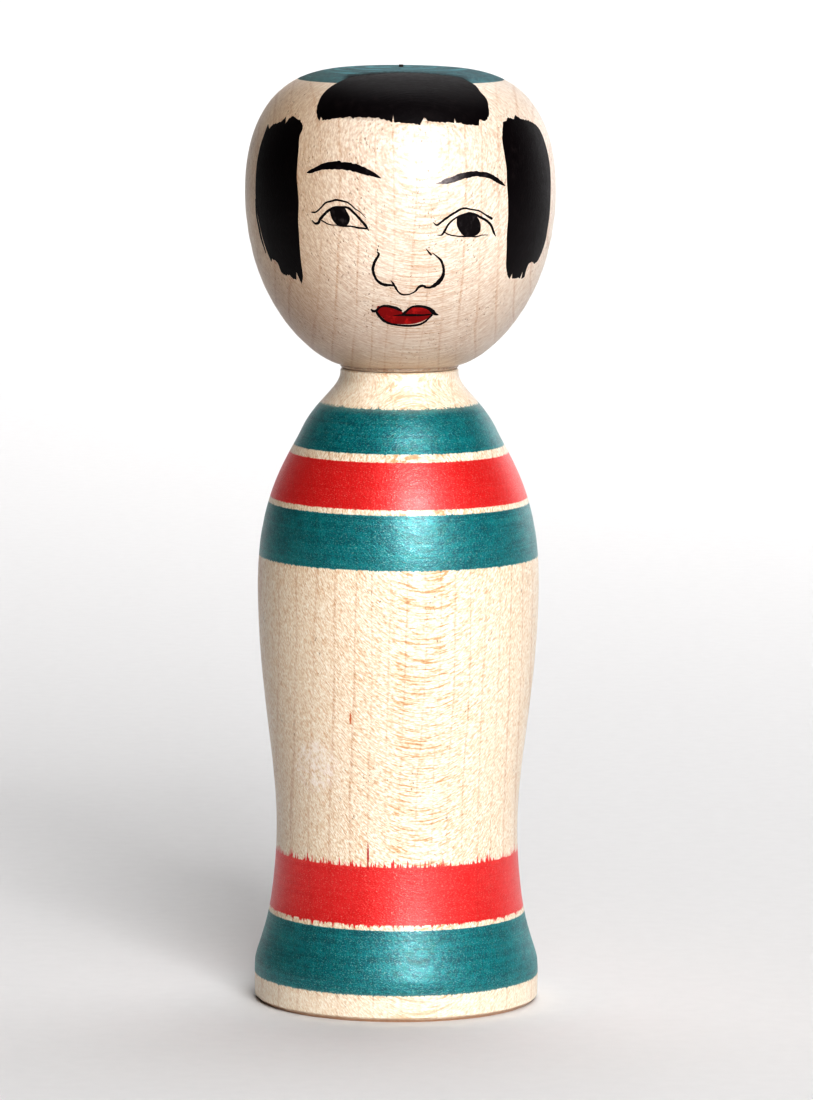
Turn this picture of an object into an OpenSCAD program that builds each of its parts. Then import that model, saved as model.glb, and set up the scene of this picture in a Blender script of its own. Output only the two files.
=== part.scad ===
// Kokeshi doll, five sun tall: a turned wooden body and a turned wooden head.
// The head's tenon turns in a blind socket in the neck. The face looks along -Y.
// The frame is +Z up, with its origin at the centre of the underside.

/* [Foot] */
// Radius of the foot's upright rim
foot_r = 23.05; // [22.5:0.05:24]
// Height of the top of the upright rim
rim_z = 6.2; // [4:0.1:7]
// Width of the bevel around the underside
foot_bevel = 0.8; // [0.3:0.1:1.5]
// Radius of the dimple that parting off leaves under the foot
dimple_r = 1.6; // [0.5:0.1:3]

/* [Body] */
// Radius where the flared skirt turns up into the waist
skirt_r = 20.35; // [20:0.05:21]
// Height where the flared skirt turns up into the waist
skirt_z = 17.4; // [16:0.1:19]
// Radius of the waist
waist_r = 19.6; // [19:0.05:20]
// Height of the waist
waist_z = 28.5; // [26:0.5:31]
// Radius of the chest, the body's widest upper part
chest_r = 22.8; // [22:0.05:23.5]
// Height of the chest
chest_z = 68.4; // [66:0.1:71]
// Radius on the sloping shoulder
shoulder_r = 15.9; // [15:0.1:17]
// Height on the sloping shoulder
shoulder_z = 93; // [92:0.1:94]
// Radius of the neck
neck_r = 9.55; // [9:0.05:10]
// Height of the flat ring on top of the neck
neck_z = 103.2; // [103:0.1:105]

/* [Head] */
// Height of the short upright collar between the seam and the jaw
collar_h = 0.55; // [0.3:0.05:1]
// Radius of the head's widest part
head_r = 25.05; // [24:0.05:26]
// Height of the head's widest part
head_wide_z = 131.9; // [130:0.1:134]
// Height of the crown
crown_z = 151.8; // [150:0.1:153]
// Radius of the nib that parting off leaves on the crown
nib_r = 0.35; // [0.2:0.05:1]
// Height of that nib
nib_h = 0.35; // [0.1:0.05:1]

/* [Neck joint] */
// Radius of the head's tenon
tenon_r = 5.5; // [4:0.1:6.5]
// Length of the tenon below the head
tenon_length = 25; // [15:1:30]
// Radial clearance of the tenon in the socket
turn_clearance = 0.05; // [0.02:0.01:0.1]
// Gap between the head and the neck's ring
seam_gap = 0.1; // [0.05:0.05:0.3]
// Space left under the tenon
socket_spare = 2; // [1:0.5:4]

/* [Hidden] */
$fn = 128;
curve_steps = 14;
edge_break = 0.25;
tenon_bevel = 1;
shoulder_angle = 65;
crown_side_power = 3.9;
crown_height_power = 2.15;
socket_r = tenon_r + turn_clearance;
seam_z = neck_z + seam_gap;
tenon_z = seam_z - tenon_length;
socket_z = tenon_z - socket_spare;

// Points of a cubic curve from a to d. b and c pull it, and its first point is left out.
function curve(a, b, c, d) = [
    for (i = [1 : curve_steps])
        let (t = i / curve_steps, s = 1 - t)
        s * s * s * a + 3 * s * s * t * b + 3 * s * t * t * c + t * t * t * d
];

// The way the shoulder's outline runs: inwards and up.
shoulder_way = [-cos(shoulder_angle), sin(shoulder_angle)];
rim_top = [foot_r, rim_z];
skirt = [skirt_r, skirt_z];
waist = [waist_r, waist_z];
chest = [chest_r, chest_z];
shoulder = [shoulder_r, shoulder_z];
neck_top = [neck_r, neck_z - edge_break];

// The body's side from the rim up to the neck, turned with one flowing cut.
body_side = concat(
    [rim_top],
    curve(rim_top, rim_top + [0, 1.4], skirt + [0.75, -6], skirt),
    curve(skirt, skirt + [-0.25, 2], waist - [0, 5], waist),
    curve(waist, waist + [0, 11], chest - [0, 16.5], chest),
    curve(chest, chest + [0, 14.3], shoulder - 4.6 * shoulder_way, shoulder),
    curve(shoulder, shoulder + 6 * shoulder_way, neck_top - [0.25, 3], neck_top)
);

// The head's lower half, from the collar over the neck out to its widest part.
jaw = [neck_r, seam_z + collar_h];
wide = [head_r, head_wide_z];
jaw_side = concat([jaw], curve(jaw, jaw + [4.3, 0.6], wide - [0, 18.2], wide));

// The head's upper half is a superellipse: full at the sides and nearly flat on top.
crown_side = [
    for (i = [1 : 2 * curve_steps - 1])
        let (a = 45 * i / curve_steps)
        [
            head_r * pow(cos(a), 2 / crown_side_power),
            head_wide_z + (crown_z - head_wide_z) * pow(sin(a), 2 / crown_height_power)
        ]
];

module body() {
    color("wheat")
    rotate_extrude()
    polygon(concat(
        [[0, dimple_r / 2], [dimple_r, 0], [foot_r - foot_bevel, 0], [foot_r, foot_bevel]],
        body_side,
        [
            [neck_r - edge_break, neck_z],
            [socket_r + edge_break, neck_z],
            [socket_r, neck_z - edge_break],
            [socket_r, socket_z],
            [0, socket_z]
        ]
    ));
}

module head() {
    color("burlywood")
    rotate_extrude()
    polygon(concat(
        [
            [0, tenon_z],
            [tenon_r - tenon_bevel, tenon_z],
            [tenon_r, tenon_z + tenon_bevel],
            [tenon_r, seam_z],
            [neck_r - edge_break, seam_z],
            [neck_r, seam_z + edge_break]
        ],
        jaw_side,
        crown_side,
        [[nib_r, crown_z], [nib_r, crown_z + nib_h], [0, crown_z + nib_h]]
    ));
}

body();
head();
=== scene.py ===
"""The looks of a turned wooden kokeshi doll: waxed pale wood, dyed bands, and a face and hair in ink.

The two turned pieces take their outlines from the CAD nodes. The ink lies on the head as films a few
hundredths of a millimetre thick, placed on a chart of its surface: degrees round from the front,
towards +X, and millimetres up along the surface from the collar under the jaw.
"""
import math

import bpy
import numpy as np
from mathutils import Matrix, Vector
from mathutils.geometry import delaunay_2d_cdt


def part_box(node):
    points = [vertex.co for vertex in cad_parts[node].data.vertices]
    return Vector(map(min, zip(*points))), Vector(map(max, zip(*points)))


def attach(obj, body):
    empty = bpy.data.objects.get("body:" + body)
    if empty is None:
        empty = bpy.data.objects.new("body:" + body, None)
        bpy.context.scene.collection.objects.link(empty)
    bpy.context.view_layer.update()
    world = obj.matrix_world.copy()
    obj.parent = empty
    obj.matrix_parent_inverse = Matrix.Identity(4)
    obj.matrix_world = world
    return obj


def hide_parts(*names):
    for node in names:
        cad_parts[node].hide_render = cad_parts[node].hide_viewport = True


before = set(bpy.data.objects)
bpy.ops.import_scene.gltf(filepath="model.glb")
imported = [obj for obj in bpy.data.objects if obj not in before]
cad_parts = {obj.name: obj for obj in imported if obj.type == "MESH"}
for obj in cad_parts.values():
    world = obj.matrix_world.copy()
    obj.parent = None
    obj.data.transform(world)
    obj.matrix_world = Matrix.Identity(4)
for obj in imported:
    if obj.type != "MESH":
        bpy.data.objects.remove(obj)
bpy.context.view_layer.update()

MM = 0.001

# ---------------------------------------------------------------- turned shapes

TURNED_SEGMENTS = 192
OUTLINE_STEP = 0.7          # mm between rings of the turned meshes
CORNER = math.radians(25)   # an outline that bends more than this keeps its corner


def rings(node):
    """The (radius, height) of every ring of points on a turned CAD node, in mm."""
    points = np.array([v.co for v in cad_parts[node].data.vertices]) / MM
    radii = np.hypot(points[:, 0], points[:, 1])
    return sorted({(round(r, 2), round(z, 2)) for r, z in zip(radii, points[:, 2])})


def side(node, keep):
    """The outer outline of a node's side, from the bottom up: the widest ring at each height."""
    widest = {}
    for r, z in rings(node):
        if keep(r, z):
            widest[z] = max(r, widest.get(z, 0))
    points = [np.array((widest[z], z)) for z in sorted(widest)]
    kept = points[:1]
    for here, after in zip(points[1:], points[2:]):
        along = (after - kept[-1]) / np.linalg.norm(after - kept[-1])
        off = here - kept[-1]
        if abs(along[0] * off[1] - along[1] * off[0]) > 0.004:
            kept.append(here)
    return np.array(kept + points[-1:])


def bend(points, i):
    """How far an outline turns at its point i, in radians."""
    a, b = points[i] - points[i - 1], points[i + 1] - points[i]
    return abs(math.atan2(a[0] * b[1] - a[1] * b[0], a @ b))


def smooth_run(points, step):
    """A curve through points, as close-set points."""
    if len(points) < 3:
        return points
    gaps = np.diff(points, axis=0)
    spans = np.linalg.norm(gaps, axis=1)[:, None]
    ways = gaps / spans
    middle = (ways[:-1] * spans[1:] + ways[1:] * spans[:-1]) / (spans[:-1] + spans[1:])
    tangents = np.vstack([ways[:1], middle, ways[-1:]])
    out = [points[:1]]
    for i, span in enumerate(spans[:, 0]):
        n = max(1, round(span / step))
        t = (np.arange(1, n + 1) / n)[:, None]
        a, b, ta, tb = points[i], points[i + 1], tangents[i] * span, tangents[i + 1] * span
        out.append(
            a * (2 * t**3 - 3 * t**2 + 1) + ta * (t**3 - 2 * t**2 + t)
            + b * (3 * t**2 - 2 * t**3) + tb * (t**3 - t**2)
        )
    return np.vstack(out)


def smooth_outline(points, step=OUTLINE_STEP):
    """An outline as close-set points, smooth except at its corners."""
    corners = [i for i in range(1, len(points) - 1) if bend(points, i) > CORNER]
    stops = [0] + corners + [len(points) - 1]
    runs = [smooth_run(points[a:b + 1], step) for a, b in zip(stops, stops[1:])]
    return np.vstack([runs[0]] + [run[1:] for run in runs[1:]])


def new_piece(name, vertices, faces, body):
    """A smooth-shaded mesh object that rides on a body. vertices are in mm."""
    mesh = bpy.data.meshes.new(name)
    mesh.from_pydata([tuple(v) for v in np.asarray(vertices) * MM], [], faces)
    mesh.polygons.foreach_set("use_smooth", [True] * len(mesh.polygons))
    mesh.update()
    piece = bpy.data.objects.new(name, mesh)
    bpy.context.scene.collection.objects.link(piece)
    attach(piece, body)
    return piece


def turned(name, rims, low, high, body, slot):
    """A closed solid of revolution: its rims in order, and the heights where it meets the axis."""
    angles = np.arange(TURNED_SEGMENTS) * 2 * math.pi / TURNED_SEGMENTS
    vertices = [(0, 0, low), (0, 0, high)]
    for r, z in rims:
        vertices += [(r * math.cos(a), r * math.sin(a), z) for a in angles]
    faces = []
    last = 2 + (len(rims) - 1) * TURNED_SEGMENTS
    for i in range(TURNED_SEGMENTS):
        j = (i + 1) % TURNED_SEGMENTS
        faces.append((0, 2 + j, 2 + i))
        faces.append((1, last + i, last + j))
        for k in range(2, last, TURNED_SEGMENTS):
            faces.append((k + i, k + j, k + TURNED_SEGMENTS + j, k + TURNED_SEGMENTS + i))
    piece = new_piece(name, vertices, faces, body)
    piece.data.set_sharp_from_angle(angle=CORNER)
    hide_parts(body)
    return piece


DIMPLE_MM = 5      # rings of the body nearer the axis than this, under the foot, are the parting dimple
INNER_MM = 9       # rings nearer the axis than this are the socket's or the tenon's
FOOT_MM = 2

seam = min(z for r, z in rings("head") if r > INNER_MM)
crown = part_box("head")[1].z / MM
body_side = smooth_outline(side("body", lambda r, z: r > INNER_MM))
head_side = smooth_outline(side("head", lambda r, z: z >= seam))
dimple = [(r, z) for r, z in rings("body") if 0 < r < DIMPLE_MM and z < FOOT_MM]
socket = [(r, z) for r, z in rings("body") if 0 < r < INNER_MM and z > FOOT_MM]
socket.sort(key=lambda ring: (-ring[1], -ring[0]))
tenon = [(r, z) for r, z in rings("head") if 0 < r < INNER_MM and z <= seam]
tenon.sort(key=lambda ring: (ring[1], ring[0]))

body = turned(
    "body_turned", np.vstack([dimple, body_side, socket]),
    max(z for r, z in rings("body") if z < FOOT_MM and r < DIMPLE_MM), socket[-1][1], "body", "body_wood",
)
head = turned("head_turned", np.vstack([tenon, head_side]), tenon[0][1], crown, "head", "head_wood")

# ---------------------------------------------------------------- materials


def from_srgb(red, green, blue):
    """A linear colour from the 0 to 255 values that a screen shows."""
    shown = [c / 255 for c in (red, green, blue)]
    return tuple(((c + 0.055) / 1.055) ** 2.4 if c > 0.04 else c / 12.92 for c in shown) + (1,)


class Shader:
    """A material's node tree, with short calls for the few kinds of node used here. Lengths are in mm."""

    def __init__(self, name):
        self.material = bpy.data.materials.new(name)
        self.material.use_nodes = True
        self.tree = self.material.node_tree
        self.surface = self.tree.nodes["Principled BSDF"]
        place = self.add("ShaderNodeTexCoord").outputs["Object"]
        self.place = self.vector("SCALE", place, scale=1 / MM)
        self.x, self.y, self.z = self.add("ShaderNodeSeparateXYZ", Vector=self.place).outputs

    def add(self, kind, settings=None, **inputs):
        node = self.tree.nodes.new(kind)
        for key, value in (settings or {}).items():
            setattr(node, key, value)
        for key, value in inputs.items():
            self.feed(node.inputs[key.replace("_", " ")], value)
        return node

    def feed(self, socket, value):
        if isinstance(value, bpy.types.NodeSocket):
            self.tree.links.new(value, socket)
        else:
            socket.default_value = value

    def vector(self, operation, a, b=None, scale=None):
        node = self.add("ShaderNodeVectorMath", {"operation": operation})
        self.feed(node.inputs[0], a)
        if b is not None:
            self.feed(node.inputs[1], b)
        if scale is not None:
            self.feed(node.inputs["Scale"], scale)
        return node.outputs["Value" if operation == "LENGTH" else "Vector"]

    def joined(self, x, y, z):
        return self.add("ShaderNodeCombineXYZ", X=x, Y=y, Z=z).outputs[0]

    def math(self, operation, *values):
        node = self.add("ShaderNodeMath", {"operation": operation})
        for socket, value in zip(node.inputs, values):
            self.feed(socket, value)
        return node.outputs[0]

    def total(self, *values):
        out = values[0]
        for value in values[1:]:
            out = self.math("ADD", out, value)
        return out

    def times(self, *values):
        out = values[0]
        for value in values[1:]:
            out = self.math("MULTIPLY", out, value)
        return out

    def step(self, value, low, high, to_low=0.0, to_high=1.0):
        """A smooth step from to_low, where value is low, to to_high, where it is high."""
        return self.add(
            "ShaderNodeMapRange", {"interpolation_type": "SMOOTHSTEP"},
            Value=value, From_Min=low, From_Max=high, To_Min=to_low, To_Max=to_high,
        ).outputs["Result"]

    def noise(self, cell, seed=0, detail=2.0, roughness=0.5, place=None):
        """Noise around 0.5 whose blobs are about cell = (x, y, z) mm in size."""
        place = self.vector("MULTIPLY", place or self.place, tuple(1 / size for size in cell))
        place = self.vector("ADD", place, (17.3 * seed, 5.1 * seed, 9.7 * seed))
        return self.add(
            "ShaderNodeTexNoise", Vector=place, Scale=1.0, Detail=detail, Roughness=roughness
        ).outputs["Fac"]

    def blend(self, share, a, b, mode="MIX"):
        """Colour a, and share of colour b over it."""
        node = self.add("ShaderNodeMix", {"data_type": "RGBA", "blend_type": mode})
        colours = [s for s in node.inputs if s.type == "RGBA"]
        self.feed(node.inputs[0], share)
        self.feed(colours[0], a)
        self.feed(colours[1], b)
        return next(s for s in node.outputs if s.type == "RGBA")

    def bump(self, height, depth):
        """Raises the surface by depth mm where height is 1."""
        self.feed(
            self.surface.inputs["Normal"],
            self.add("ShaderNodeBump", Height=height, Distance=depth * MM).outputs["Normal"],
        )


# Each block of wood: where the middle of the tree was, mm of growth a year, how far the fibres lean back
# in mm per mm of height, how many degrees that lean is turned to the right, the seed of its noises, how
# strong its figure is, the level that a broad noise has to pass for pores to show, how strong the painted
# shade towards its left side is, and its main colour.
BODY_WOOD = {
    "pith": (104, 6, 0), "ring": 2.6, "lean": 0.38, "turn": 11, "seed": 3, "figure": 1.2,
    "pores_above": 0.55, "left_shade": 0.34, "tone": from_srgb(239, 221, 197),
}
HEAD_WOOD = {
    "pith": (96, -8, 0), "ring": 2.9, "lean": 0.32, "turn": 8, "seed": 31, "figure": 0.55,
    "pores_above": 0.45, "left_shade": 1.0, "tone": from_srgb(226, 208, 192),
}
BUMP_DEPTH = 0.022      # mm of relief in the surface of the wood
DYED_METALLIC = 0.27    # how much like metal the dyed wood shines


class Wood(Shader):
    """Pale close-grained wood, split so that its growth rings lie nearly square to X.

    The rings show as thin brown lines up the front and as wide figure on the sides. The rays run along X in
    sheets that lean back with the fibres, so they sag across the middle of the front like smiles, slant up
    and out to either side of it, and stand as short ticks on the flanks. The pale fibres between the ticks
    are lightened to near-white as painted highlights, and the wood carries painted shade, darker towards
    its left side.
    """

    def __init__(self, name, pith, ring, lean, turn, seed, figure, pores_above, left_shade, tone):
        super().__init__(name)
        turned = self.add(
            "ShaderNodeVectorRotate", {"rotation_type": "Z_AXIS"},
            Vector=self.place, Angle=math.radians(-turn),
        ).outputs[0]
        along, back, up = self.add("ShaderNodeSeparateXYZ", Vector=turned).outputs
        leaned = self.joined(along, self.math("SUBTRACT", back, self.times(up, lean)), up)
        wander = self.times(self.math("SUBTRACT", self.noise((9, 26, 90), seed), 0.5), 3.6)
        ripple = self.times(self.math("SUBTRACT", self.noise((1.6, 1.6, 9), seed + 1), 0.5), 0.4)
        from_pith = self.vector("SUBTRACT", self.place, pith)
        across = self.vector("LENGTH", self.vector("MULTIPLY", from_pith, (1, 1, 0)))
        growth = self.math("DIVIDE", self.total(across, wander, ripple), ring)
        year = self.math("FRACT", growth)
        late = self.times(self.step(year, 0.80, 0.94), self.step(year, 0.94, 1.0, 1.0, 0.0))
        dots = self.step(self.noise((0.6, 0.3, 0.8), seed + 2, detail=2, place=leaned), 0.42, 0.6)
        strong = self.step(self.noise((5, 9, 40), seed + 3), 0.35, 0.65, 0.4, 1.0)
        self.late = self.times(late, strong, self.math("ADD", self.times(dots, 0.65), 0.35))
        sheets = self.noise((6, 0.16, 0.9), seed + 4, detail=1.5, place=leaned)
        self.rays = self.step(sheets, 0.50, 0.58)
        middle = self.step(self.math("ABSOLUTE", along), 2.5, 6.0, 1.0, 0.45)
        ray_edges = self.times(self.step(sheets, 0.44, 0.37), middle)
        fibre = self.noise((0.14, 0.14, 1.1), seed + 5, detail=2, roughness=0.6, place=leaned)
        weave = self.noise((0.7, 0.12, 0.42), seed + 9, detail=1.5, place=leaned)
        ticks = self.step(weave, 0.52, 0.66)
        # pale fibres between the ticks, which are lightened to near-white as painted highlights
        painted_glints = self.step(weave, 0.48, 0.36)
        pores = self.times(
            self.step(self.noise((0.3, 0.3, 0.6), seed + 6, detail=1), 0.655, 0.71),
            self.step(self.noise((5, 5, 8), seed + 8), pores_above, pores_above + 0.12),
        )
        cloud = self.step(self.noise((11, 11, 26), seed + 7, detail=3), 0.3, 0.7)
        colour = self.blend(self.times(cloud, 0.6), tone, (0.93, 0.89, 0.85, 1), "MULTIPLY")
        # self.left is painted shade: it darkens the wood towards its left side, above the foot
        self.left = self.times(self.step(self.x, -20.0, -4.0, left_shade, 0.0), self.step(self.z, 3.0, 7.0))
        dull = self.step(fibre, 0.55, 0.3, 0.0, 0.8)
        colour = self.blend(dull, colour, (0.86, 0.80, 0.73, 1), "MULTIPLY")
        colour = self.blend(self.times(self.rays, 0.45), colour, from_srgb(252, 242, 226))
        # painted highlights on the pale fibres
        colour = self.blend(self.times(painted_glints, 0.65 * figure), colour, from_srgb(255, 249, 238))
        colour = self.blend(self.times(ticks, 0.66 * figure), colour, (0.80, 0.67, 0.55, 1), "MULTIPLY")
        colour = self.blend(self.times(ray_edges, figure), colour, (0.84, 0.61, 0.42, 1), "MULTIPLY")
        colour = self.blend(self.times(self.late, 0.8), colour, (0.74, 0.54, 0.40, 1), "MULTIPLY")
        self.colour = self.blend(self.times(pores, 0.8), colour, (0.40, 0.28, 0.21, 1), "MULTIPLY")
        fuzz = self.noise((0.3, 0.2, 0.14), seed + 10, detail=2, roughness=0.7)
        self.weave = weave
        self.fuzz = fuzz
        self.grain = self.total(
            self.times(self.rays, 0.3), self.times(fibre, 0.4),
            self.times(weave, -0.8), self.times(fuzz, 0.8),
        )
        self.tone = tone
        self.dyed = 0.0

    def cover(self, colour, matte=0.0):
        """Sets the finished colour under a thin wax polish, which is duller where matte is more."""
        # multiplies in the painted shade towards the left side
        colour = self.blend(self.left, colour, (0.78, 0.70, 0.60, 1), "MULTIPLY")
        self.feed(self.surface.inputs["Base Color"], colour)
        rough = self.total(0.38, self.times(self.rays, -0.08), matte)
        self.feed(self.surface.inputs["Roughness"], rough)
        self.feed(self.surface.inputs["Metallic"], self.times(self.dyed, DYED_METALLIC))
        coat = self.total(0.3, self.times(matte, -0.5), self.times(self.dyed, 0.02))
        self.feed(self.surface.inputs["Coat Weight"], coat)
        self.surface.inputs["Specular IOR Level"].default_value = 0.75
        self.surface.inputs["Coat Roughness"].default_value = 0.3
        self.bump(self.total(self.grain, self.times(self.dyed, self.fuzz, 1.4)), BUMP_DEPTH)

    def dye(self, colour, cover, thin, deep, seed):
        """Stains colour where cover is 1, unevenly, between a thin and a deep shade of the dye."""
        laid = self.total(
            self.times(self.noise((60, 60, 0.5), seed, detail=2), 0.18),
            self.times(self.noise((2.2, 2.2, 1.2), seed + 1, detail=3), 0.18),
            self.times(self.weave, 0.32), self.times(self.fuzz, 0.32),
        )
        shade = self.blend(self.step(laid, 0.39, 0.60), deep, thin)
        # pale specks where the wood shows through the dye, lightened further as painted sparkle
        specks_and_sparkle = self.times(self.step(self.fuzz, 0.56, 0.68), 0.28)
        shade = self.blend(specks_and_sparkle, shade, (0.8, 0.9, 0.95, 1))
        self.dyed = self.total(self.dyed, cover)
        colour = self.blend(self.times(cover, 0.7), colour, self.tone)
        return self.blend(cover, colour, shade, "MULTIPLY")

    def mark(self, colour, x, z, half_width, half_height, tone, strength=1.0):
        """A small mark on the front of the wood, ragged at its ends."""
        across = self.math("DIVIDE", self.math("SUBTRACT", self.x, x), half_width)
        upward = self.math("DIVIDE", self.math("SUBTRACT", self.z, z), half_height)
        away = self.total(self.times(across, across), self.times(upward, upward))
        ragged = self.math("SUBTRACT", self.noise((0.3, 0.3, 0.5), 77), 0.5)
        away = self.total(away, self.times(ragged, 2.0))
        there = self.times(self.step(away, 0.4, 1.2, 1.0, 0.0), self.step(self.y, -6.0, -5.0, 1.0, 0.0))
        return self.blend(self.times(there, strength), colour, tone)

    def band(self, low, high, low_bleed, high_bleed, seed):
        """1 in a band painted round the wood while it turned, with edges that bleed along the fibres."""
        hairs = self.noise((0.45, 0.45, 14), seed, detail=3, roughness=0.7)
        spikes = self.total(self.step(hairs, 0.46, 0.70), self.times(self.late, 0.7))
        more_hairs = self.noise((0.4, 0.4, 14), seed + 1, detail=3, roughness=0.7)
        more_spikes = self.total(self.step(more_hairs, 0.46, 0.70), self.times(self.late, 0.7))
        above = self.total(self.z, -low, self.times(spikes, low_bleed))
        below = self.total(self.times(self.z, -1), high, self.times(more_spikes, high_bleed))
        return self.times(self.step(above, -0.1, 0.1), self.step(below, -0.1, 0.1))


GREEN_THIN, GREEN_DEEP = from_srgb(0, 170, 196), from_srgb(0, 108, 134)
RED_THIN, RED_DEEP = from_srgb(255, 70, 78), from_srgb(244, 38, 46)

# The bands round the body: where each starts and ends in mm, how far the dye bleeds down from it and up
# from it in mm, and the seed of its edges.
GREEN_BANDS = (90.9, 97.6, 0.15, 0.35, 41), (72.9, 81.5, 0.25, 0.15, 43), (4.4, 14.5, 0.2, 0.12, 45)
RED_BANDS = (82.4, 89.6, 0.15, 0.15, 47), (15.4, 24.6, 0.6, 1.4, 49)


def dyed_body():
    wood = Wood("dyed_body_wood", **BODY_WOOD)
    colour = wood.colour
    for bands, thin, deep in ((GREEN_BANDS, GREEN_THIN, GREEN_DEEP), (RED_BANDS, RED_THIN, RED_DEEP)):
        for low, high, low_bleed, high_bleed, seed in bands:
            cover = wood.band(low, high, low_bleed, high_bleed, seed)
            colour = wood.dye(colour, cover, thin, deep, seed + 20)
    # painted light: the wood is lightened near the bottom of the foot and up the neck
    ends = wood.total(wood.step(wood.z, 3.0, 5.0, 0.32, 0.0), wood.step(wood.z, 96.5, 98.5, 0.0, 0.28))
    colour = wood.blend(ends, colour, from_srgb(255, 244, 224))
    # the bottom half-millimetre of the foot is coloured brown, with a ragged top edge
    rim_height = wood.total(wood.z, wood.times(wood.noise((2.5, 2.5, 0.5), 81), -0.6))
    colour = wood.blend(wood.step(rim_height, 0.0, 0.5, 0.85, 0.0), colour, from_srgb(172, 126, 92))
    colour = wood.mark(colour, -4.6, 26.3, 0.17, 2.2, from_srgb(176, 44, 36))
    colour = wood.mark(colour, -7.5, 48.8, 0.2, 1.1, from_srgb(196, 104, 50))
    chalky = wood.step(wood.noise((1.1, 1.1, 0.9), 95, detail=4, roughness=0.65), 0.45, 0.58)
    colour = wood.mark(colour, -13.0, 40.5, 3.8, 4.6, from_srgb(255, 246, 243), wood.times(chalky, 0.5))
    wood.cover(colour, wood.step(wood.z, 13.0, 17.0, 0.1, 0.0))
    body.data.materials.append(wood.material)


DISC_MM = 16.6      # the green disc on the crown


def crown_disc(wood, colour):
    """The green disc painted on the crown, with swirls left by the brush as the wood turned."""
    out = wood.vector("LENGTH", wood.joined(wood.x, wood.y, 0.0))
    way = wood.math("ARCTAN2", wood.x, wood.y)
    spiral = wood.joined(wood.total(out, wood.times(way, 0.35)), wood.times(way, 0.8), 0.0)
    swirl = wood.noise((1.4, 1.0, 1.0), 61, detail=2, place=spiral)
    edge = wood.step(out, DISC_MM - 0.1, DISC_MM + 0.1, 1.0, 0.0)
    on_top = wood.times(edge, wood.step(wood.z, 139.0, 141.0))
    colour = wood.dye(colour, on_top, GREEN_THIN, GREEN_DEEP, 63)
    # painted reflection: a pinkish grey laid over the green disc
    colour = wood.blend(wood.times(on_top, 0.36), colour, from_srgb(130, 118, 118))
    streaks = wood.times(wood.step(swirl, 0.5, 0.66), on_top, 0.4)
    colour = wood.blend(streaks, colour, from_srgb(120, 196, 204))
    nib = wood.step(out, 0.3, 0.9, 1.0, 0.0)
    return wood.blend(wood.times(nib, on_top), colour, from_srgb(52, 44, 38)), on_top


def fringe_top(wood):
    """1 where the ink of the bangs thins out on the crown, behind the edge of its film."""
    fade = wood.total(wood.y, wood.times(wood.noise((0.5, 0.8, 0.5), 71, detail=3), 2.4), -1.2)
    depth = wood.step(fade, -12.0, -9.0, 1.0, 0.0)
    width = wood.step(wood.math("ABSOLUTE", wood.math("SUBTRACT", wood.x, 0.9)), 9.0, 10.6, 1.0, 0.0)
    behind = wood.step(wood.z, 144.0, 146.0)
    return wood.times(depth, width, behind)


INK_BLACK = from_srgb(11, 4, 7)


def dyed_head():
    wood = Wood("dyed_head_wood", **HEAD_WOOD)
    colour, on_top = crown_disc(wood, wood.colour)
    colour = wood.blend(fringe_top(wood), colour, INK_BLACK)
    # painted shade: the head darkens from 126 mm down towards the chin, and more so on its left side
    chin_shade = wood.step(wood.z, 108.0, 126.0, 1.0, 0.0)
    colour = wood.blend(chin_shade, colour, (0.76, 0.74, 0.73, 1), "MULTIPLY")
    colour = wood.blend(wood.times(chin_shade, wood.left), colour, (0.80, 0.70, 0.64, 1), "MULTIPLY")
    # painted shade under the jaw, just above the collar
    jaw_shade = wood.step(wood.z, 104.2, 108.0, 1.0, 0.0)
    colour = wood.blend(jaw_shade, colour, (0.80, 0.74, 0.68, 1), "MULTIPLY")
    wood.cover(colour, wood.times(on_top, 0.55))
    head.data.materials.append(wood.material)


def ink(name, full, dry, seed, thin_at=None):
    """Brushed ink, with drier patches. It thins to a wash between the two X of thin_at, in mm."""
    wood = Wood(name, **HEAD_WOOD)
    patchy = wood.noise((1.1, 1.1, 1.6), seed, detail=3, roughness=0.6)
    colour = wood.blend(wood.step(patchy, 0.5, 0.8), full, dry)
    if thin_at:
        spots = wood.step(wood.noise((0.5, 0.5, 0.3), seed + 1), 0.3, 0.6, 0.25, 0.5)
        wash = wood.times(wood.step(wood.x, *thin_at), spots)
        colour = wood.blend(wash, colour, from_srgb(196, 186, 186))
    wood.cover(colour)
    wood.feed(wood.surface.inputs["Coat Weight"], wood.times(patchy, 0.02))
    wood.surface.inputs["Specular IOR Level"].default_value = 0.16
    wood.feed(wood.surface.inputs["Roughness"], wood.step(patchy, 0.3, 0.8, 0.4, 0.5))
    return wood.material


# ---------------------------------------------------------------- ink on the head

PROUD, DEEP = 0.03, 0.05    # mm that a film of ink stands proud of the wood, and reaches into it
OVER_INK = PROUD * 1.6      # the same for ink that lies over other ink
CHART_RADIUS = 24           # mm; flattens degrees into mm while a film's outline is worked out
FILL_STEP = 0.8             # mm between points inside a film
PATCH_CORNER = math.radians(55)     # a patch's outline that bends more than this keeps its corner
HAIR_TEETH = 0.14           # mm that the edges of the hair bleed up and down
COLLAR_TOP = 2              # which point of the head's outline is the top of its collar
COLLAR_UP = 0.24            # the chart's height there, in mm

head_run = np.concatenate([[0], np.cumsum(np.linalg.norm(np.diff(head_side, axis=0), axis=1))])
head_run -= head_run[COLLAR_TOP] - COLLAR_UP


def on_head(degrees, up, lift):
    """The point at a place on the chart of the head, raised off the wood by lift mm."""
    point = np.array([np.interp(up, head_run, head_side[:, i]) for i in (0, 1)])
    along = np.array([np.interp(up + 0.5, head_run, head_side[:, i]) for i in (0, 1)]) - point
    r, z = point + lift * np.array((along[1], -along[0])) / np.linalg.norm(along)
    a = math.radians(degrees)
    return r * math.sin(a), -r * math.cos(a), z


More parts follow.
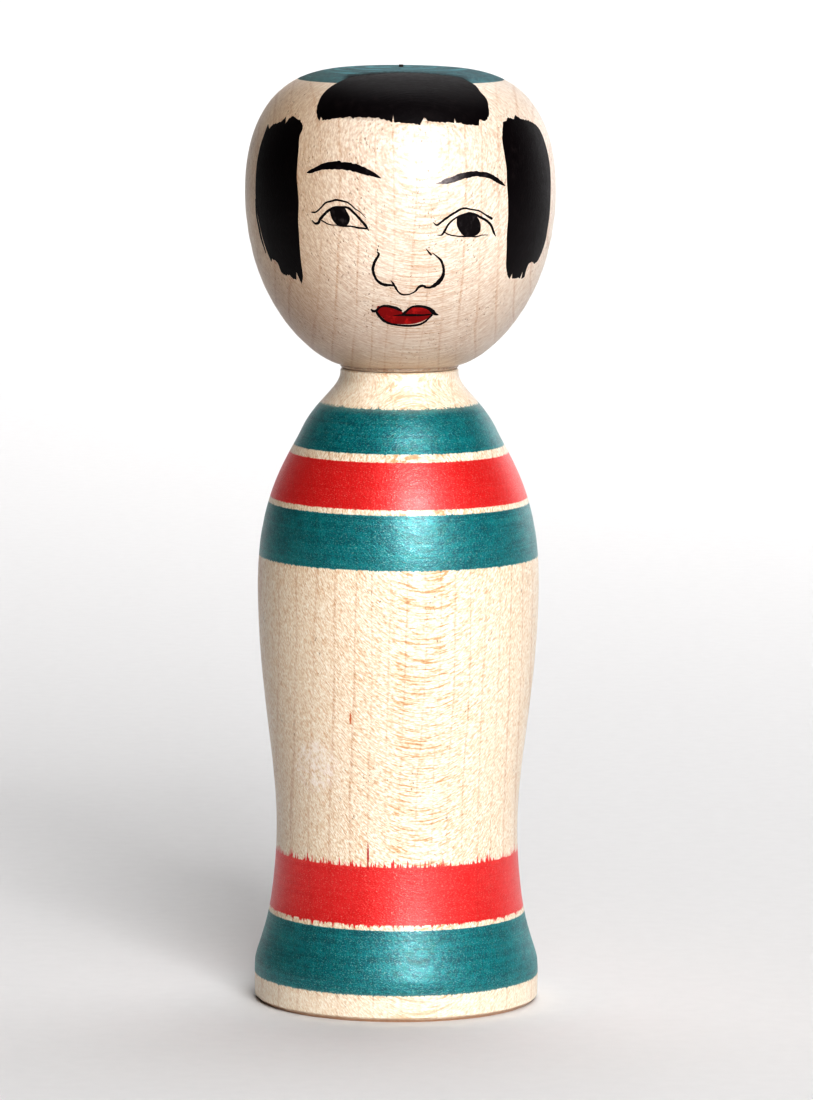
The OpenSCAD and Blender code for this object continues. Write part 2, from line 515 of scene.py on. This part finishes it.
def flat(points):
    """Chart points (degrees, up) as flat mm."""
    return np.array([(math.radians(p[0]) * CHART_RADIUS, p[1]) for p in points])


def smooth_patch(points, step=0.3, teeth=0.0):
    """The closed outline of a patch, smooth between its corners, from flat points that start at a corner.

    Ink bleeds up and down along the fibres, by up to teeth mm.
    """
    loop = np.vstack([points, points[:1]])
    corners = [i for i in range(1, len(points)) if bend(loop, i) > PATCH_CORNER]
    stops = [0] + corners + [len(points)]
    outline = np.vstack([smooth_run(loop[a:b + 1], step)[:-1] for a, b in zip(stops, stops[1:])])
    outline[:, 1] += np.random.default_rng(5).uniform(-teeth, teeth, len(outline))
    return outline


def stroke(line, seed):
    """The outline of a brush stroke along line = (degrees, up, width in mm), with slightly uneven edges."""
    places = smooth_run(flat(line), 0.25)
    spans = np.concatenate([[0], np.cumsum(np.linalg.norm(np.diff(flat(line), axis=0), axis=1))])
    reach = np.concatenate([[0], np.cumsum(np.linalg.norm(np.diff(places, axis=0), axis=1))])
    widths = np.interp(reach / reach[-1], spans / spans[-1], [p[2] for p in line])
    along = np.gradient(places, axis=0)
    along /= np.linalg.norm(along, axis=1)[:, None]
    square = np.stack([-along[:, 1], along[:, 0]], axis=1)
    rng = np.random.default_rng(seed)
    shake = rng.normal(1.0, 0.09, (2, len(places), 1))
    half = widths[:, None] / 2
    left = places + square * half * shake[0]
    right = places - square * half * shake[1]
    start = places[:1] - along[:1] * half[:1] * 0.8
    end = places[-1:] + along[-1:] * half[-1:] * 0.8
    return np.vstack([start, right, end, left[::-1]])


def film(outline, lift):
    """A closed thin sheet over an outline in flat mm, as vertices on the head and faces."""
    low, high = outline.min(axis=0), outline.max(axis=0)
    inside = [
        (u, v) for u in np.arange(low[0], high[0], FILL_STEP) for v in np.arange(low[1], high[1], FILL_STEP)
        if np.linalg.norm(outline - (u, v), axis=1).min() > FILL_STEP / 3
    ]
    points = [Vector(p) for p in list(outline) + inside]
    points, _, triangles = delaunay_2d_cdt(points, [], [list(range(len(outline)))], 1, 1e-5)[:3]
    used = sorted({i for triangle in triangles for i in triangle})
    number = {i: k for k, i in enumerate(used)}
    size = len(used)
    top = []
    for a, b, c in triangles:
        ab, ac = points[b] - points[a], points[c] - points[a]
        turn = ab.x * ac.y - ab.y * ac.x
        top.append([number[i] for i in ((a, b, c) if turn > 0 else (a, c, b))])
    edges = {(t[k], t[(k + 1) % 3]) for t in top for k in range(3)}
    faces = [tuple(t) for t in top] + [(a + size, c + size, b + size) for a, b, c in top]
    faces += [(b, a, a + size, b + size) for a, b in edges if (b, a) not in edges]
    chart = [(math.degrees(points[i].x / CHART_RADIUS), points[i].y) for i in used]
    vertices = [on_head(degrees, up, depth) for depth in (lift, -DEEP) for degrees, up in chart]
    return vertices, faces


def ink_piece(name, outlines, material, lift=PROUD):
    """One piece made of the films over several outlines."""
    vertices, faces = [], []
    for outline in outlines:
        more, shapes = film(outline, lift)
        faces += [tuple(i + len(vertices) for i in shape) for shape in shapes]
        vertices += more
    piece = new_piece(name, vertices, faces, "head")
    piece.data.set_sharp_from_angle(angle=CORNER)
    piece.data.materials.append(material)
    return piece


def hair():
    black = ink("hair_ink", INK_BLACK, from_srgb(26, 18, 19), 81)
    bangs = [
        (-35, 46.8), (-37, 47.9), (-38.5, 48.9), (-39.5, 50.3), (-40, 52.3), (-39, 54), (-37, 55.6),
        (-34, 57.2), (-22, 59), (-8, 60.3), (3, 60.8), (14, 60.4), (27, 59.2), (40, 57), (43.5, 54.5),
        (42.5, 52.8), (43, 51.3), (41.5, 49.5), (39, 47.8), (37.5, 47.2), (34, 47.3), (33, 46.3),
        (28, 46.5), (23, 47), (22.7, 47.8), (22, 46.9), (16, 47), (10.5, 47.5), (9.7, 47.9),
        (7.6, 46.5), (4.5, 46.8), (-2.6, 47.1), (-3.1, 48.3), (-3.5, 47.1), (-9, 47.7), (-13.5, 47.8),
        (-19.3, 47.8), (-19.8, 47.5), (-20.4, 47.7), (-25, 47.6), (-30, 47.3), (-33.5, 47.1),
        (-34.9, 47.7),
    ]
    left = [
        (-67, 45.6), (-66.9, 44.4), (-67.5, 42.3), (-67.8, 39.7), (-67.5, 36.8), (-67.2, 33.9),
        (-65.9, 31), (-64.8, 28.9), (-63.6, 27.2), (-62.7, 25.8), (-61.7, 24.7), (-60.3, 23.4),
        (-59, 24), (-55.6, 23.4), (-54.6, 22), (-53, 21.4), (-49.5, 21.5), (-47.8, 21), (-46.2, 20.7),
        (-45, 22.3), (-44.4, 21.3), (-43.8, 20.2), (-41.8, 21.8), (-41.5, 23.2), (-41.2, 25.2),
        (-40.7, 27.8), (-40.5, 30.7), (-40, 33.7), (-40.5, 35.6), (-41.2, 37.5), (-41.5, 39.8),
        (-42, 42.3), (-42.8, 44.5), (-42.3, 45.3), (-43, 46.1), (-46.5, 47), (-49, 47.3), (-51.6, 47.2),
        (-53.4, 46), (-55, 47.2), (-56.4, 46.5), (-59, 46), (-62.5, 45.6), (-64.2, 45),
    ]
    right = [
        (46, 46.6), (48.5, 47), (50.3, 47.6), (51.6, 47.2), (54, 47.2), (55.8, 47.7), (57, 47.4),
        (59, 47), (62.5, 46.7), (68, 46.1), (71.5, 45.2), (73.2, 43.8), (74, 42), (74.4, 40.4),
        (74.4, 38.7), (74, 36.3), (73.5, 33.5), (73.2, 30.6), (72.9, 28.1), (72.2, 26.2), (71, 24.9),
        (68.6, 23.8), (66.5, 23.2), (62.6, 23.6), (60.5, 23.3), (59.8, 22.4), (60.2, 21.2),
        (58.2, 20.9), (57.4, 22.4), (56.8, 21), (54.5, 21.1), (51.3, 21), (50.4, 21.9), (49.6, 21.1),
        (48.6, 21.4), (46.5, 22.6), (44.6, 25.6), (43.5, 28.5), (43.3, 31.4), (43, 34.2), (42.6, 37),
        (42.8, 39.4), (42.6, 41.7), (42.8, 43.6), (44.2, 45.2),
    ]
    stray_left = [
        (-67.2, 33.4, 0.3), (-66.9, 31, 0.5), (-66, 28.8, 0.55), (-64.8, 26.7, 0.5), (-63.5, 24.8, 0.2),
    ]
    for name, outline, strays in (
        ("bangs", bangs, []), ("side_lock_left", left, [stray_left]), ("side_lock_right", right, []),
    ):
        patches = [smooth_patch(flat(outline), teeth=HAIR_TEETH)] + [stroke(stray, 3) for stray in strays]
        ink_piece(name, patches, black)


def brows_and_eyes(black):
    brow_left = [
        (-36.5, 38.4, 0.1), (-35, 38.6, 0.55), (-32, 39.1, 0.7), (-29.5, 39.5, 1.0), (-26.5, 39.7, 1.2),
        (-23.5, 39.8, 1.3), (-20.5, 39.7, 1.25), (-17.5, 39.5, 1.2), (-14.5, 39.2, 1.15),
        (-12, 38.8, 1.0), (-10, 38.5, 0.7), (-8.5, 38.2, 0.45), (-7, 37.9, 0.08),
    ]
    brow_right = [
        (13, 37.1, 0.05), (15, 37.2, 0.4), (16.5, 37.4, 0.8), (19, 37.6, 0.9), (21.5, 38, 1.0),
        (23.5, 38.2, 1.0), (26, 38.4, 0.9), (28.5, 38.5, 0.8), (31, 38.4, 0.8), (33.5, 38.2, 0.8),
        (36, 37.8, 0.75), (38, 37.3, 0.7), (40, 36.8, 0.5), (41.5, 36.4, 0.1),
    ]
    ink_piece("brow_left", [stroke(brow_left, 1)], black)
    thinned = ink("thinned_ink", from_srgb(16, 10, 14), from_srgb(58, 52, 56), 85, (11.5, 5.5))
    ink_piece("brow_right", [stroke(brow_right, 2)], thinned)

    crease_left = [
        (-34, 32.2, 0.15), (-32.5, 32.2, 0.25), (-31, 32.6, 0.22), (-29.5, 33.2, 0.22),
        (-28, 33.8, 0.24), (-25.5, 34.1, 0.28), (-24, 34.3, 0.3), (-21.5, 34.2, 0.26),
        (-19.5, 34, 0.22), (-18, 33.6, 0.18), (-16.5, 33, 0.16), (-14.5, 32.5, 0.12),
        (-12.5, 31.6, 0.05),
    ]
    upper_left = [
        (-34, 30.9, 0.1), (-32.5, 30.4, 0.3), (-31.5, 30.5, 0.4), (-30.5, 31.1, 0.42), (-28.5, 32, 0.4),
        (-26, 32.8, 0.38), (-24.5, 33.1, 0.36), (-22, 33.2, 0.34), (-19, 33.1, 0.34), (-17, 32.4, 0.34),
        (-14.5, 31.3, 0.36), (-12.5, 30.3, 0.38), (-11.5, 29.6, 0.12),
    ]
    lower_left = [
        (-30.5, 31.1, 0.12), (-29, 30.8, 0.16), (-27, 30.4, 0.16), (-25.5, 30.3, 0.1),
        (-24, 30.3, 0.12), (-21, 30.2, 0.26), (-18, 30.2, 0.18), (-15.5, 30, 0.3), (-12.3, 29.9, 0.24),
    ]
    iris_left = [
        (-26.3, 32.5), (-24.5, 33.2), (-22, 33.3), (-20.4, 33.1), (-19.8, 32.6), (-18.9, 32),
        (-18.5, 31.5), (-18.9, 30.8), (-19.8, 30.3), (-21.2, 30.1), (-23, 30.2), (-24.5, 30.7),
        (-25.7, 31.5),
    ]
    crease_right = [
        (12, 31, 0.06), (13.5, 30.5, 0.3), (14.8, 30.9, 0.3), (17, 31.6, 0.36), (20, 32.4, 0.32),
        (23.5, 33.1, 0.32), (26.5, 32.9, 0.22), (30, 32.6, 0.22), (32.5, 32, 0.22), (35.5, 31.3, 0.44),
    ]
    upper_right = [
        (13.8, 28.9, 0.08), (15.4, 28.9, 0.24), (16.3, 29.4, 0.36), (17.7, 30.5, 0.28),
        (20.5, 31.6, 0.24), (24.5, 32.2, 0.3), (26, 32.3, 0.38), (28, 32.1, 0.34), (30.5, 31.6, 0.38),
        (32.5, 31.2, 0.36), (35, 30.4, 0.36), (37, 29, 0.32), (38, 28.4, 0.06),
    ]
    lower_right = [
        (16.2, 29.4, 0.14), (18, 29, 0.18), (21, 28.7, 0.18), (24, 28.6, 0.22), (27, 28.6, 0.28),
        (29.5, 28.5, 0.22), (31.5, 28.7, 0.14), (34.2, 28.7, 0.1),
    ]
    iris_right = [
        (21, 31.6), (22.5, 32), (24.5, 32.3), (26.5, 32.2), (28.5, 31.9), (29.8, 31.3), (30.6, 30.6),
        (30.9, 30), (30.7, 29.3), (29.6, 28.8), (27.5, 28.6), (24.2, 28.7), (22.3, 29.5), (21.1, 30.5),
    ]
    eyes = ink("eye_ink", from_srgb(18, 12, 14), from_srgb(66, 60, 60), 87)
    for name, lines, iris, seed in (
        ("eye_left", (crease_left, upper_left, lower_left), iris_left, 11),
        ("eye_right", (crease_right, upper_right, lower_right), iris_right, 21),
    ):
        strokes = [stroke(line, seed + i) for i, line in enumerate(lines)]
        ink_piece(name, strokes, black, OVER_INK)
        ink_piece(name + "_iris", [smooth_patch(flat(iris))], eyes)


def nose(black):
    wing_left = [
        (-8.5, 26.2, 0.15), (-7.9, 25.8, 0.36), (-8.8, 25.1, 0.4), (-9.8, 24.3, 0.42),
        (-10.4, 23.2, 0.46), (-10, 22.3, 0.42), (-9.2, 21.5, 0.4), (-7.6, 20.9, 0.5), (-5.7, 20.6, 0.5),
        (-3.5, 20.6, 0.36), (-2.5, 20.5, 0.2),
    ]
    tip = [
        (-3.6, 21.4, 0.05), (-2.7, 20.9, 0.34), (-1.7, 20.2, 0.34), (-0.7, 19.5, 0.26), (0.6, 19, 0.26),
        (2.3, 18.9, 0.24), (4.6, 19.1, 0.18), (6.3, 19.5, 0.26), (7.5, 20.2, 0.4), (9, 20.5, 0.42),
        (10.5, 20.3, 0.26),
    ]
    wing_right = [
        (12.3, 26, 0.1), (13.8, 25.5, 0.22), (15.6, 24.8, 0.36), (16.7, 23.9, 0.38), (17.2, 22.9, 0.42),
        (16.9, 22, 0.62), (15.8, 21.2, 0.76), (14.2, 20.6, 0.66), (12.4, 20.2, 0.36), (10, 20.2, 0.3),
    ]
    tick = [(9.6, 26.8, 0.05), (10.7, 26.2, 0.24), (11.8, 25.7, 0.32)]
    spot_high = [(-8, 27.2, 0.1), (-8, 27, 0.12)]
    spot_low = [(-8.4, 26.6, 0.16), (-8.3, 26.4, 0.2)]
    parts = (wing_left, tip, wing_right, tick, spot_high, spot_low)
    lines = [stroke(line, 31 + i) for i, line in enumerate(parts)]
    ink_piece("nose", lines, black)


def mouth(black):
    fill = [
        (-10.3, 16), (-9.5, 16.8), (-7.7, 16.7), (-4.6, 16.7), (-2, 16.3), (0.7, 15.8), (1.7, 15.5),
        (3.8, 16.2), (6.1, 16.7), (9, 16.7), (12, 16.4), (14.3, 15.8), (15.2, 15.4), (14, 14.9),
        (11.9, 14.2), (7.8, 13.5), (2.2, 13.3), (-2, 13.4), (-5.7, 13.8), (-8, 14.7), (-9.8, 15.5),
    ]
    upper_left = [
        (-12.5, 16.1, 0.25), (-11.8, 15.8, 0.45), (-10.2, 15.9, 0.42), (-8.8, 16.5, 0.34),
        (-6.6, 16.8, 0.4), (-4, 16.7, 0.42), (-1.4, 16.4, 0.54), (0.9, 15.9, 0.3),
    ]
    upper_right = [
        (1.4, 15.2, 0.5), (3.3, 16, 0.4), (5.1, 16.6, 0.34), (7.4, 16.8, 0.36), (10, 16.7, 0.42),
        (12.8, 16.3, 0.56), (14.8, 15.7, 0.75), (15.8, 15.3, 0.55), (17.5, 15.1, 0.15),
    ]
    middle = [
        (-2.8, 15.0, 0.1), (0.5, 15.1, 0.3), (3.9, 15.1, 0.42), (7.4, 15.1, 0.4), (10.5, 15.1, 0.3),
        (13.2, 15.2, 0.24), (15, 15.3, 0.1),
    ]
    lower = [
        (-10.5, 15.9, 0.42), (-9.4, 15, 0.48), (-7.6, 14.1, 0.5), (-5.7, 13.6, 0.42),
        (-2.1, 13.2, 0.36), (2.2, 13, 0.36), (6.5, 13, 0.36), (9.9, 13.3, 0.32), (12.2, 13.9, 0.34),
        (13.4, 14.5, 0.3), (14.6, 15.1, 0.4),
    ]
    red = ink("lip_ink", from_srgb(128, 14, 16), from_srgb(184, 38, 34), 91)
    ink_piece("lips", [smooth_patch(flat(fill))], red)
    lines = [stroke(line, 41 + i) for i, line in enumerate((upper_left, upper_right, middle, lower))]
    ink_piece("lip_lines", lines, black, OVER_INK)


dyed_body()
dyed_head()
brush_ink = ink("brush_ink", from_srgb(12, 6, 10), from_srgb(44, 38, 42), 83)
hair()
brows_and_eyes(brush_ink)
nose(brush_ink)
mouth(brush_ink)

# ---------------------------------------------------------------- stage, light and camera

EYE_DISTANCE, EYE_HEIGHT, EYE_RIGHT = 1103.3 * MM, 208.2 * MM, 1.3 * MM
EYE_DOWN, EYE_ROLL = math.radians(6.96), math.radians(0.32)
SENSOR, LENS = 36, 224.3     # both in mm


def add_camera():
    data = bpy.data.cameras.new("camera")
    data.sensor_width = SENSOR
    data.lens = LENS
    data.clip_end = 20
    camera = bpy.data.objects.new("camera", data)
    bpy.context.scene.collection.objects.link(camera)
    turn = Matrix.Rotation(math.radians(90) - EYE_DOWN, 4, "X") @ Matrix.Rotation(EYE_ROLL, 4, "Z")
    camera.matrix_world = Matrix.Translation((EYE_RIGHT, -EYE_DISTANCE, EYE_HEIGHT)) @ turn
    bpy.context.scene.camera = camera


def add_sweep():
    """A paper sweep: flat under the doll, and curving up into a wall behind it."""
    front, flat, radius, height, half_width, turns = -5.0, 0.9, 0.8, 2.2, 2.6, 24
    rows = [(front, 0.0), (flat, 0.0)]
    for i in range(1, turns + 1):
        angle = math.radians(90) * i / turns
        rows.append((flat + radius * math.sin(angle), radius * (1 - math.cos(angle))))
    rows.append((flat + radius, height))
    vertices = [(x, y, z) for y, z in rows for x in (-half_width, half_width)]
    faces = [(2 * i, 2 * i + 1, 2 * i + 3, 2 * i + 2) for i in range(len(rows) - 1)]
    mesh = bpy.data.meshes.new("sweep")
    mesh.from_pydata(vertices, [], faces)
    mesh.polygons.foreach_set("use_smooth", [True] * len(mesh.polygons))
    sweep = bpy.data.objects.new("sweep", mesh)
    bpy.context.scene.collection.objects.link(sweep)
    paper = Shader("paper")
    paper.feed(paper.surface.inputs["Base Color"], paper.blend(
        paper.noise((3, 3, 3), detail=4), from_srgb(222, 221, 221), from_srgb(227, 226, 226)))
    paper.surface.inputs["Roughness"].default_value = 0.9
    paper.surface.inputs["Specular IOR Level"].default_value = 0.15
    mesh.materials.append(paper.material)


def add_light(name, azimuth, elevation, distance, size, watts, colour=(1, 1, 1)):
    """A soft box facing the middle of the doll. Azimuth is degrees from the front towards +X."""
    data = bpy.data.lights.new(name, "AREA")
    data.shape = "RECTANGLE"
    data.size, data.size_y = size
    data.energy = watts
    data.color = colour
    light = bpy.data.objects.new(name, data)
    bpy.context.scene.collection.objects.link(light)
    a, e = math.radians(azimuth), math.radians(elevation)
    way = Vector((math.sin(a) * math.cos(e), -math.cos(a) * math.cos(e), math.sin(e)))
    aim = Vector((0, 0, 80 * MM))
    light.location = aim + way * distance
    light.rotation_euler = way.to_track_quat("Z", "Y").to_euler()


def add_paper_light(name, place, tilt, size, spread, watts):
    """A soft box over the sweep, facing down and tilted back, whose light fans out over spread degrees."""
    data = bpy.data.lights.new(name, "AREA")
    data.shape = "RECTANGLE"
    data.size, data.size_y = size
    data.spread = math.radians(spread)
    data.energy = watts
    light = bpy.data.objects.new(name, data)
    bpy.context.scene.collection.objects.link(light)
    light.location = place
    light.rotation_euler = (math.radians(tilt), 0, 0)


def add_world(strength):
    world = bpy.data.worlds.new("studio")
    bpy.context.scene.world = world
    world.use_nodes = True
    background = world.node_tree.nodes["Background"]
    background.inputs["Color"].default_value = (1, 1, 1, 1)
    background.inputs["Strength"].default_value = strength


add_camera()
add_sweep()
add_light("key", 15, 23, 1.6, (0.65, 0.9), 19)
add_light("high_key", 18, 46, 1.6, (1.0, 0.6), 3.4)
add_light("right_front", 38, 15, 1.3, (0.8, 0.9), 1.4)
add_light("right_side", 100, 8, 1.3, (0.8, 0.7), 0.15)
add_light("right_back", 140, 8, 1.5, (0.9, 0.6), 1.2)
add_light("left_back", -140, 25, 1.6, (0.9, 0.9), 0.15)
add_light("back", 170, 38, 1.6, (1.2, 0.8), 1)
add_paper_light("wall_light", (0.3, 0.95, 1.6), 8, (1.5, 1.4), 110, 9.1)
add_paper_light("front_floor_light", (0, -2.4, 1.1), 0, (3.2, 1.2), 70, 9)
add_world(0.03)
bpy.context.scene.view_settings.view_transform = "Standard"
bpy.context.scene.view_settings.look = "High Contrast"
